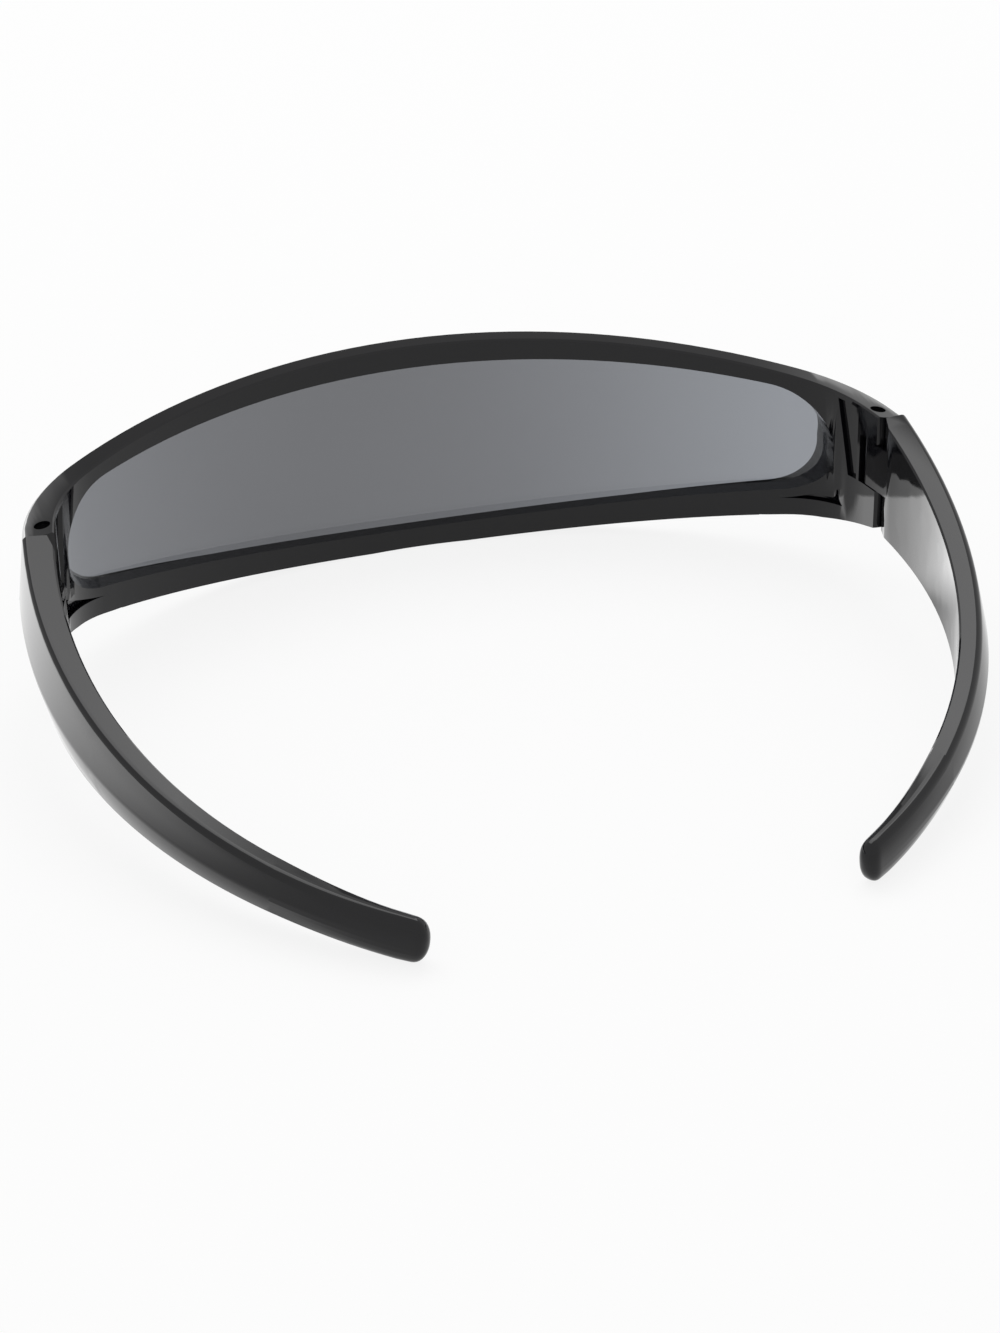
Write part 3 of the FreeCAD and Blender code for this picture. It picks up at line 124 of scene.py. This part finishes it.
# Surroundings: how bright they look, and how much light they give
WHITE = (1.0, 1.0, 1.0, 1.0)
WORLD_SEEN = 1.0
WORLD_LIGHT = 0.55

# Key light: its power is in watts, and its card leans by an angle in degrees
KEY_AT = (0.0, -0.834, 1.638)
KEY_AIM = (0.0, 0.0, 0.02)
KEY_WIDE = 2.0
KEY_TALL = 1.05
KEY_POWER = 16.0
KEY_LEAN = 27.0

# Reflection cards, painted reflections that light nothing: the level of those just above the floor, and
# turns in degrees
CARD_LEVEL = -0.0001
FLAT = (0.0, 0.0, 0.0)
UPRIGHT = (90.0, 0.0, 0.0)


def new_material(name):
    """An empty node material with its output."""
    material = bpy.data.materials.new(name)
    material.use_nodes = True
    tree = material.node_tree
    tree.nodes.clear()
    output = tree.nodes.new("ShaderNodeOutputMaterial")
    return material, tree, output


def add_node(tree, kind, values):
    """A shader node with its constant values on their sockets."""
    node = tree.nodes.new(kind)
    for socket, value in values.items():
        node.inputs[socket].default_value = value
    return node


def calculation(tree, operation, *values):
    """Arithmetic on two values, each a socket or a plain number."""
    node = tree.nodes.new("ShaderNodeMath")
    node.operation = operation
    for slot, value in enumerate(values):
        if isinstance(value, float):
            node.inputs[slot].default_value = value
        else:
            tree.links.new(value, node.inputs[slot])
    return node


def coordinates(tree, kind):
    """A surface point's coordinates of one kind, each on its own socket."""
    coords = tree.nodes.new("ShaderNodeTexCoord")
    split = tree.nodes.new("ShaderNodeSeparateXYZ")
    tree.links.new(coords.outputs[kind], split.inputs["Vector"])
    return split.outputs


def noise(tree, scale, detail, rough):
    """A noise over the object's own coordinates."""
    coords = tree.nodes.new("ShaderNodeTexCoord")
    node = add_node(tree, "ShaderNodeTexNoise", {"Scale": scale, "Detail": detail, "Roughness": rough})
    tree.links.new(coords.outputs["Object"], node.inputs["Vector"])
    return node


def spread(tree, source, low, high):
    """Map a noise's middle range onto a range of values."""
    node = add_node(
        tree,
        "ShaderNodeMapRange",
        {"From Min": NOISE_LOW, "From Max": NOISE_HIGH, "To Min": low, "To Max": high},
    )
    tree.links.new(source.outputs["Fac"], node.inputs["Value"])
    return node


def colour_mix(tree, share):
    """A mix of two colours that are still to be given, by a share."""
    node = tree.nodes.new("ShaderNodeMix")
    node.data_type = "RGBA"
    tree.links.new(share, node.inputs["Factor"])
    return node


def tint(tree, source, dark, pale):
    """Blend two colours by a noise."""
    node = colour_mix(tree, source.outputs["Fac"])
    node.inputs["A"].default_value = dark
    node.inputs["B"].default_value = pale
    return node


def show_mixed(tree, share, first, second, output):
    """Show two shaders mixed, the second one by the given share."""
    mix = tree.nodes.new("ShaderNodeMixShader")
    tree.links.new(share, mix.inputs["Fac"])
    tree.links.new(first, mix.inputs[1])
    tree.links.new(second, mix.inputs[2])
    tree.links.new(mix.outputs["Shader"], output.inputs["Surface"])


def black_plastic():
    """Polished black moulded plastic: a deep base, slightly uneven gloss and a faint moulded ripple."""
    material, tree, output = new_material("gloss_black_plastic")
    shader = add_node(tree, "ShaderNodeBsdfPrincipled", {"IOR": PLASTIC_IOR})
    blotch = noise(tree, scale=45.0, detail=3.0, rough=0.55)
    colour = tint(tree, blotch, PLASTIC_DEEP, PLASTIC_PALE)
    tree.links.new(colour.outputs["Result"], shader.inputs["Base Color"])
    haze = spread(tree, noise(tree, scale=130.0, detail=4.0, rough=0.6), *PLASTIC_HAZE)
    tree.links.new(haze.outputs["Result"], shader.inputs["Roughness"])
    ripple = noise(tree, scale=2600.0, detail=2.0, rough=0.5)
    bump = add_node(tree, "ShaderNodeBump", {"Strength": RIPPLE_STRENGTH, "Distance": RIPPLE_HEIGHT})
    tree.links.new(ripple.outputs["Fac"], bump.inputs["Height"])
    tree.links.new(bump.outputs["Normal"], shader.inputs["Normal"])
    tree.links.new(shader.outputs["BSDF"], output.inputs["Surface"])
    return material


def tint_and_shade_falloff(tree):
    """A share that grows, as a square, from the darkest line of the lens toward both ends; it spreads both
    the tint and a painted shade.
    """
    aside = add_node(
        tree,
        "ShaderNodeMapRange",
        {"From Min": LENS_DARKEST_X, "From Max": LENS_DARKEST_X + LENS_FALLOFF_REACH},
    )
    aside.clamp = False
    tree.links.new(coordinates(tree, "Object")["X"], aside.inputs["Value"])
    square = calculation(tree, "MULTIPLY", aside.outputs["Result"], aside.outputs["Result"])
    square.use_clamp = True
    return square.outputs["Value"]


def smoke_lens():
    """Smoke-tinted clear plastic with a polished skin, paler away from its darkest line, partly by its own
    tint and partly by painted shade.
    """
    material, tree, output = new_material("smoke_lens_plastic")
    shader = add_node(tree, "ShaderNodeBsdfPrincipled", {"IOR": LENS_IOR, "Transmission Weight": 1.0})
    cloud = noise(tree, scale=30.0, detail=2.0, rough=0.5)
    # Painted shade: the lens is darker toward its +X end, as the floor seen through it would be in shade,
    # on top of its own smoke tint
    colour = colour_mix(tree, tint_and_shade_falloff(tree))
    tree.links.new(tint(tree, cloud, *LENS_DEEP_TINT_AND_SHADE).outputs["Result"], colour.inputs["A"])
    tree.links.new(tint(tree, cloud, *LENS_PALE_TINT_AND_SHADE).outputs["Result"], colour.inputs["B"])
    tree.links.new(colour.outputs["Result"], shader.inputs["Base Color"])
    haze = spread(tree, noise(tree, scale=220.0, detail=3.0, rough=0.6), *LENS_HAZE)
    tree.links.new(haze.outputs["Result"], shader.inputs["Roughness"])
    tree.links.new(shader.outputs["BSDF"], output.inputs["Surface"])
    return material


def pin_steel():
    """Plain drawn steel, a little uneven in tone and gloss."""
    material, tree, output = new_material("drawn_steel")
    shader = add_node(tree, "ShaderNodeBsdfPrincipled", {"Metallic": 1.0})
    fleck = noise(tree, scale=900.0, detail=4.0, rough=0.6)
    colour = tint(tree, fleck, STEEL_DARK, STEEL_PALE)
    tree.links.new(colour.outputs["Result"], shader.inputs["Base Color"])
    haze = spread(tree, fleck, *STEEL_HAZE)
    tree.links.new(haze.outputs["Result"], shader.inputs["Roughness"])
    tree.links.new(shader.outputs["BSDF"], output.inputs["Surface"])
    return material


def dress(piece, material):
    """Give a piece its finish."""
    slots = piece.material_slots
    if not slots:
        piece.data.materials.append(material)
        return
    for slot in slots:
        slot.link = "OBJECT"
        slot.material = material


def ease_edges(piece):
    """Join a piece's faces, keep its sharp edges crisp and even out its shading."""
    joined = piece.modifiers.new("joined_faces", "WELD")
    joined.merge_threshold = WELD_GAP
    crisp = piece.modifiers.new("crisp_edges", "EDGE_SPLIT")
    crisp.split_angle = SHARP_EDGE
    even = piece.modifiers.new("even_shading", "WEIGHTED_NORMAL")
    even.weight = AREA_WEIGHT
    even.keep_sharp = False


def steady_top(piece):
    """Shade a temple's top strip by its larger faces alone, so that its bevels don't tilt the gloss."""
    group = piece.vertex_groups.new(name="top_strip")
    for face in piece.data.polygons:
        if face.normal.z > TOP_LEVEL:
            group.add(list(face.vertices), 1.0, "REPLACE")
    steady = piece.modifiers.new("steady_top", "WEIGHTED_NORMAL")
    steady.vertex_group = group.name
    steady.weight = TOP_WEIGHT
    # Areas are tiny in square metres, so any difference between them counts
    steady.thresh = 0.0
    steady.keep_sharp = False


def everything(mesh):
    """All of a mesh's parts, as the cutting calls take them."""
    return mesh.verts[:] + mesh.edges[:] + mesh.faces[:]


def temple_axes(node):
    """Directions along a temple's end, across it and upright, from the mount there."""
    mount = next(m for m in frame["record"]["mounts"] if m["name"] == node + "_end")
    along = Vector(mount["axis"]).normalized()
    across = along.cross(Vector((0.0, 0.0, 1.0))).normalized()
    return along, across, across.cross(along)


def temple_solid(node):
    """A working copy of a temple's mesh, with its faces joined."""
    solid = bmesh.new()
    solid.from_mesh(frame["nodes"][node].data)
    bmesh.ops.remove_doubles(solid, verts=solid.verts[:], dist=WELD_GAP)
    return solid


def section_box(solid, axes, reach):
    """Middle and half size of a temple's section, across and upright, where its length passes a point."""
    along, across, upright = axes
    cut = solid.copy()
    found = bmesh.ops.bisect_plane(cut, geom=everything(cut), plane_co=along * reach, plane_no=along)
    points = [part.co.copy() for part in found["geom_cut"] if isinstance(part, bmesh.types.BMVert)]
    cut.free()
    box = []
    for axis in (across, upright):
        places = [point.dot(axis) for point in points]
        box.append(((min(places) + max(places)) / 2, (max(places) - min(places)) / 2))
    return box


def carried_on(before, last, share):
    """The last section's box, its middle moved on in line from the one before by a share of their gap."""
    return [(b[0] + (b[0] - a[0]) * share, b[1]) for a, b in zip(before, last)]


def divide_rim(mesh):
    """Divide the longer sides of a mesh's one open edge, with points close to their corners too."""
    for edge in [edge for edge in mesh.edges if edge.is_boundary]:
        length = edge.calc_length()
        if length < LOOP_STEP:
            continue
        low, high = (corner.co.copy() for corner in edge.verts)
        last = int(length / LOOP_STEP)
        made = bmesh.ops.subdivide_edges(mesh, edges=[edge], cuts=last + 1)["geom_inner"]
        added = [part for part in made if isinstance(part, bmesh.types.BMVert)]
        added.sort(key=lambda corner: (corner.co - low).length)
        for k, corner in enumerate(added):
            at = LOOP_MARGIN + (length - 2 * LOOP_MARGIN) * k / last
            corner.co = low.lerp(high, at / length)


def open_loop(mesh):
    """The corners round a mesh's one open edge, in order."""
    rim = [edge for edge in mesh.edges if edge.is_boundary]
    loop = [rim[0].verts[0], rim[0].verts[1]]
    while len(loop) < len(rim):
        ahead = [edge.other_vert(loop[-1]) for edge in loop[-1].link_edges if edge.is_boundary]
        loop.append(next(corner for corner in ahead if corner is not loop[-2]))
    return loop


def sharp_corners(loop):
    """For each corner of a loop, whether the outline turns sharply there."""
    turns = []
    for k, corner in enumerate(loop):
        behind = corner.co - loop[k - 1].co
        ahead = loop[(k + 1) % len(loop)].co - corner.co
        turns.append(behind.angle(ahead) > SHARP_EDGE)
    return turns


def in_half_sizes(loop, axes, box):
    """A loop's corners, across and upright, measured from its box's middle in its half sizes."""
    return [
        [(corner.co.dot(axis) - middle) / half for axis, (middle, half) in zip(axes[1:], box)]
        for corner in loop
    ]


def rounded_off(spot, share):
    """Move a point of a section, measured in its half sizes, part of the way onto a rounded outline."""
    angle = math.atan2(spot[1], spot[0])
    turn = (math.cos(angle), math.sin(angle))
    radius = (abs(turn[0]) ** TIP_ROUND + abs(turn[1]) ** TIP_ROUND) ** (-1.0 / TIP_ROUND)
    return [spot[i] + (radius * turn[i] - spot[i]) * share for i in (0, 1)]


def ring_places(start, dome):
    """Where a temple end's rings lie along it: evenly up to the dome, then ever closer toward its peak."""
    even = [start + (dome - start) * k / TIP_STEPS for k in range(1, TIP_STEPS + 1)]
    quarter = math.pi / 2
    steps = range(1, DOME_STEPS + 1)
    return even + [dome + TIP_DOME * math.sin(quarter * k / (DOME_STEPS + DOME_SHORT)) for k in steps]


def section_point(axes, place, box, shrink, spot):
    """A point of a section in space, from its place in the section's half sizes."""
    point = axes[0] * place
    for axis, (middle, half), size, part in zip(axes[1:], box, shrink, spot):
        point = point + axis * (middle + half * size * part)
    return point


def join_rings(shell, ring, corners, crisp):
    """Close the band between two rings, with crisp lines where they are asked for."""
    for k in range(len(ring)):
        shell.faces.new((ring[k - 1], ring[k], corners[k], corners[k - 1]))
    for k in range(len(ring)):
        shell.edges.get((ring[k], corners[k])).smooth = not crisp[k]


def grow_end(shell, solid, axes, end):
    """Carry a cut temple on from its open edge, through rings that round off, to a domed end."""
    start = end - TIP_REACH
    dome = end - TIP_DOME
    divide_rim(shell)
    ring = open_loop(shell)
    sharp = sharp_corners(ring)
    outline = in_half_sizes(ring, axes, section_box(solid, axes, start))
    before = section_box(solid, axes, dome - TIP_DOME)
    last = section_box(solid, axes, dome)
    for place in ring_places(start, dome):
        beyond = max(0.0, (place - dome) / TIP_DOME)
        box = carried_on(before, last, beyond) if beyond else section_box(solid, axes, place)
        thin = max(0.0, (place - end + TIP_EASE) / TIP_EASE)
        shrink = (math.sqrt(1.0 - thin**2), (1.0 - beyond**DOME_POWER) ** (1.0 / DOME_POWER))
        # The rounding grows in a smooth step
        step = min(1.0, (place - start) / (dome - start))
        share = step * step * (3.0 - 2.0 * step)
        corners = []
        for spot in outline:
            at = section_point(axes, place, box, shrink, rounded_off(spot, share))
            corners.append(shell.verts.new(at))
        join_rings(shell, ring, corners, [turn and share < LINES_FADE for turn in sharp])
        ring = corners
    middle = (0.0, 0.0)
    peak = section_point(axes, end, carried_on(before, last, 1.0), middle, middle)
    cap = shell.verts.new(peak)
    for k in range(len(ring)):
        shell.faces.new((ring[k - 1], ring[k], cap))


def round_temple(node):
    """A temple whose section rounds off toward a domed end, in place of the plainer solid."""
    axes = temple_axes(node)
    along = axes[0]
    solid = temple_solid(node)
    end = max(corner.co.dot(along) for corner in solid.verts) - TIP_TRIM
    shell = solid.copy()
    cut_at = along * (end - TIP_REACH)
    bmesh.ops.bisect_plane(shell, geom=everything(shell), plane_co=cut_at, plane_no=along, clear_outer=True)
    grow_end(shell, solid, axes, end)
    bmesh.ops.recalc_face_normals(shell, faces=shell.faces[:])
    for face in shell.faces:
        face.smooth = True
    mesh = bpy.data.meshes.new(node + "_shell")
    shell.to_mesh(mesh)
    shell.free()
    solid.free()
    piece = bpy.data.objects.new(node + "_shell", mesh)
    bpy.context.scene.collection.objects.link(piece)
    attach(piece, node)
    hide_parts(node)
    return piece


def dress_pieces():
    """Give every piece its finish, with the rounded temples in place of the solid ones."""
    nodes = frame["nodes"]
    plastic = black_plastic()
    dress(nodes[FRONT_NODE], plastic)
    ease_edges(nodes[FRONT_NODE])
    for name in TEMPLES:
        shell = round_temple(name)
        dress(shell, plastic)
        ease_edges(shell)
        steady_top(shell)
        dress(nodes[name], plastic)
    dress(nodes[LENS_NODE], smoke_lens())
    steel = pin_steel()
    for name in PIN_NODES:
        dress(nodes[name], steel)


def seen_share(tree):
    """One for the rays that look at a surface, and nothing for those that gather light."""
    path = tree.nodes.new("ShaderNodeLightPath").outputs
    either = calculation(tree, "MAXIMUM", path["Is Camera Ray"], path["Is Glossy Ray"])
    any_of = calculation(tree, "MAXIMUM", either.outputs["Value"], path["Is Transmission Ray"])
    return any_of.outputs["Value"]


def white_floor():
    """A wide pale floor that shows white and still takes the shadow."""
    bpy.ops.mesh.primitive_plane_add(size=FLOOR_SIZE, location=(0.0, 0.0, FLOOR_LEVEL))
    floor = bpy.context.object
    floor.name = "studio_floor"
    material, tree, output = new_material("studio_floor_white")
    surface = {"Base Color": FLOOR_COLOUR, "Roughness": FLOOR_ROUGHNESS, "Specular IOR Level": 0.0}
    shader = add_node(tree, "ShaderNodeBsdfPrincipled", surface)
    white = add_node(tree, "ShaderNodeEmission", {"Strength": 1.0})
    share = calculation(tree, "MULTIPLY", seen_share(tree), FLOOR_WHITE)
    show_mixed(tree, share.outputs["Value"], shader.outputs["BSDF"], white.outputs["Emission"], output)
    floor.data.materials.append(material)


def world_light():
    """Even studio surroundings: white to the camera and in reflections, softer as light."""
    world = bpy.data.worlds.new("studio")
    bpy.context.scene.world = world
    world.use_nodes = True
    tree = world.node_tree
    tree.nodes.clear()
    output = tree.nodes.new("ShaderNodeOutputWorld")
    light = add_node(tree, "ShaderNodeBackground", {"Color": WHITE, "Strength": WORLD_LIGHT})
    seen = add_node(tree, "ShaderNodeBackground", {"Color": WHITE, "Strength": WORLD_SEEN})
    show_mixed(tree, seen_share(tree), light.outputs["Background"], seen.outputs["Background"], output)


def key_lamp():
    """A soft rectangular lamp above the front; a card stands for it in reflections."""
    lamp = bpy.data.lights.new("key_softbox", "AREA")
    lamp.shape = "RECTANGLE"
    lamp.size = KEY_WIDE
    lamp.size_y = KEY_TALL
    lamp.energy = KEY_POWER
    holder = bpy.data.objects.new("key_softbox", lamp)
    bpy.context.scene.collection.objects.link(holder)
    holder.location = Vector(KEY_AT)
    holder.visible_camera = False
    holder.visible_glossy = False
    aim = Vector(KEY_AIM) - Vector(KEY_AT)
    holder.rotation_euler = aim.to_track_quat("-Z", "Y").to_euler()


def edge_fade(tree, coordinate, low_soft, high_soft):
    """A share that is whole across a card and fades to nothing at two opposite edges."""
    fades = []
    for bare, whole in ((0.0, low_soft), (1.0, 1.0 - high_soft)):
        fade = add_node(tree, "ShaderNodeMapRange", {"From Min": bare, "From Max": whole})
        fade.interpolation_type = "SMOOTHSTEP"
        tree.links.new(coordinate, fade.inputs["Value"])
        fades.append(fade.outputs["Result"])
    return calculation(tree, "MULTIPLY", *fades).outputs["Value"]


def studio_card(name, middle, size, turn, soft, strength):
    """A painted reflection: a soft-edged glowing card that only polished surfaces pick up and that lights
    nothing, lighter or darker than what is behind it.

    The turn is in degrees, and soft gives the parts of the card that fade at its low and high edges.
    """
    bpy.ops.mesh.primitive_plane_add(size=1.0, location=middle)
    card = bpy.context.object
    card.name = name
    card.scale = (size[0], size[1], 1.0)
    card.rotation_euler = [math.radians(angle) for angle in turn]
    material, tree, output = new_material(name + "_glow")
    across = coordinates(tree, "Generated")
    fades = [edge_fade(tree, across[axis], *edges) for axis, edges in zip(("X", "Y"), soft)]
    share = calculation(tree, "MULTIPLY", *fades)
    clear = tree.nodes.new("ShaderNodeBsdfTransparent")
    glow = add_node(tree, "ShaderNodeEmission", {"Strength": strength})
    show_mixed(tree, share.outputs["Value"], clear.outputs["BSDF"], glow.outputs["Emission"], output)
    card.data.materials.append(material)
    card.visible_camera = False
    card.visible_diffuse = False
    card.visible_transmission = False
    card.visible_shadow = False


def studio_cards():
    """Painted reflections that the gloss picks up: two bright cards on the floor, one for the key lamp and
    a dim one far off.
    """
    # Painted reflection: a wide glowing floor patch out beyond the left temple, seen only in the gloss
    studio_card(
        "left_painted_reflection",
        middle=(0.331, -0.1325, CARD_LEVEL),
        size=(0.538, 0.435),
        turn=FLAT,
        soft=((0.13, 0.3), (0.2, 0.2)),
        strength=3.3,
    )
    # Painted reflection: a small glowing floor patch near the right hinge, seen only in the gloss
    studio_card(
        "right_painted_reflection",
        middle=(-0.0629, -0.0352, CARD_LEVEL),
        size=(0.046, 0.023),
        turn=(0.0, 0.0, 128.2),
        soft=((0.03, 0.4), (0.15, 0.15)),
        strength=2.6,
    )
    studio_card(
        "key_panel",
        middle=KEY_AT,
        size=(2.2, 1.266),
        turn=(KEY_LEAN, 0.0, 0.0),
        soft=((0.1, 0.1), (0.32, 0.1)),
        strength=3.5,
    )
    # Painted dark reflection: a dim card far in front, seen only in the gloss
    studio_card(
        "far_painted_dark_reflection",
        middle=(-0.125, -0.587, 0.26),
        size=(0.6, 0.32),
        turn=UPRIGHT,
        soft=((0.2, 0.2), (0.2, 0.2)),
        strength=0.3,
    )


def photo_camera():
    """The photograph's camera, behind and above the wearer's side of the lens."""
    level = math.cos(PITCH)
    forward = Vector((-math.sin(YAW) * level, -math.cos(YAW) * level, -math.sin(PITCH)))
    right = Vector((-math.cos(YAW), math.sin(YAW), 0.0))
    up = right.cross(forward)
    turned_right = right * math.cos(ROLL) + up * math.sin(ROLL)
    turned_up = up * math.cos(ROLL) - right * math.sin(ROLL)
    data = bpy.data.cameras.new("photo_camera")
    data.sensor_fit = "VERTICAL"
    data.sensor_height = SENSOR_TALL
    data.lens = SENSOR_TALL * FOCAL_PX / IMAGE_TALL
    data.clip_start = CLIP_START
    camera = bpy.data.objects.new("photo_camera", data)
    bpy.context.scene.collection.objects.link(camera)
    axes = Matrix((turned_right, turned_up, -forward)).transposed().to_4x4()
    camera.matrix_world = Matrix.Translation(CAMERA_AT) @ axes
    bpy.context.scene.camera = camera


dress_pieces()
white_floor()
world_light()
key_lamp()
studio_cards()
photo_camera()
bpy.context.scene.view_settings.view_transform = "Standard"
